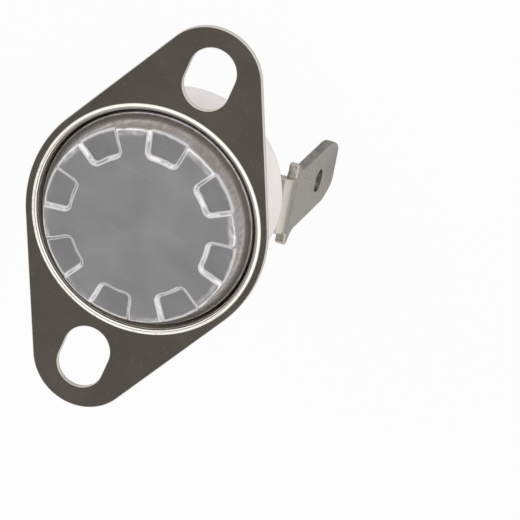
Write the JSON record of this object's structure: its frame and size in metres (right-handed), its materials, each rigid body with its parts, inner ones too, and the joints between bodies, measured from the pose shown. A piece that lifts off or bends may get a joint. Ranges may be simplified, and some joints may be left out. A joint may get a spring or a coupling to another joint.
{
  "type": "bimetal disc thermostat",
  "caption": "Snap-action thermostat with a ceramic body, a drawn aluminium sensing cap, a loose slotted ear flange and upright tab terminals.",
  "frame": {"origin": "centre of the sensing face, the cap's flat front", "axes": "+Z out of the sensing face, away from the body and the terminals; +X along the flange's two ears; the body and its terminals are turned 13 degrees about +Z against the ears"},
  "size_m": [0.0318, 0.0184, 0.0228],
  "materials": {
    "cap_aluminium": "satin",
    "flange_nickel": "satin",
    "body_ceramic": "matte",
    "guide_ceramic": "matte",
    "disc_bimetal": "satin",
    "spring_copper": "satin",
    "carrier_brass": "satin",
    "contact_silver": "satin",
    "terminal_nickel": "satin",
    "rivet_nickel": "satin"
  },
  "bodies": {
    "body": {"sensing_cap": "cap_aluminium", "ceramic_base": "body_ceramic", "guide_plate": "guide_ceramic", "bimetal_disc": "disc_bimetal", "contact_carrier": "carrier_brass", "fixed_contact": "contact_silver", "fixed_terminal": "terminal_nickel", "spring_terminal": "terminal_nickel", "fixed_terminal_rivet": "rivet_nickel", "spring_terminal_rivet": "rivet_nickel"},
    "flange": {"mounting_flange": "flange_nickel"},
    "pin": {"transfer_pin": "guide_ceramic"},
    "arm": {"contact_arm": "spring_copper", "moving_contact": "contact_silver"}
  },
  "joints": [
    {"name": "flange_swivel", "type": "hinge", "parent": "body", "child": "flange", "pos_m": [0, 0, 0], "axis": [0, 0, 1], "continuous": true},
    {"name": "pin_slide", "type": "slide", "parent": "body", "child": "pin", "axis": [0, 0, -1], "range_m": [0, 0.00035], "stiffness_N_per_m": 50, "springref_m": -0.002, "deforming": ["bimetal_disc"]},
    {"name": "arm_flex", "type": "hinge", "parent": "body", "child": "arm", "pos_m": [0.00088, -0.0038, -0.00668], "axis": [-0.9744, -0.225, 0], "range_deg": [0, 5.15], "deforming": ["contact_arm"]}
  ],
  "couplings": [
    {"joint": "arm_flex", "follows": "pin_slide", "rad_per_m": 256.4}
  ]
}
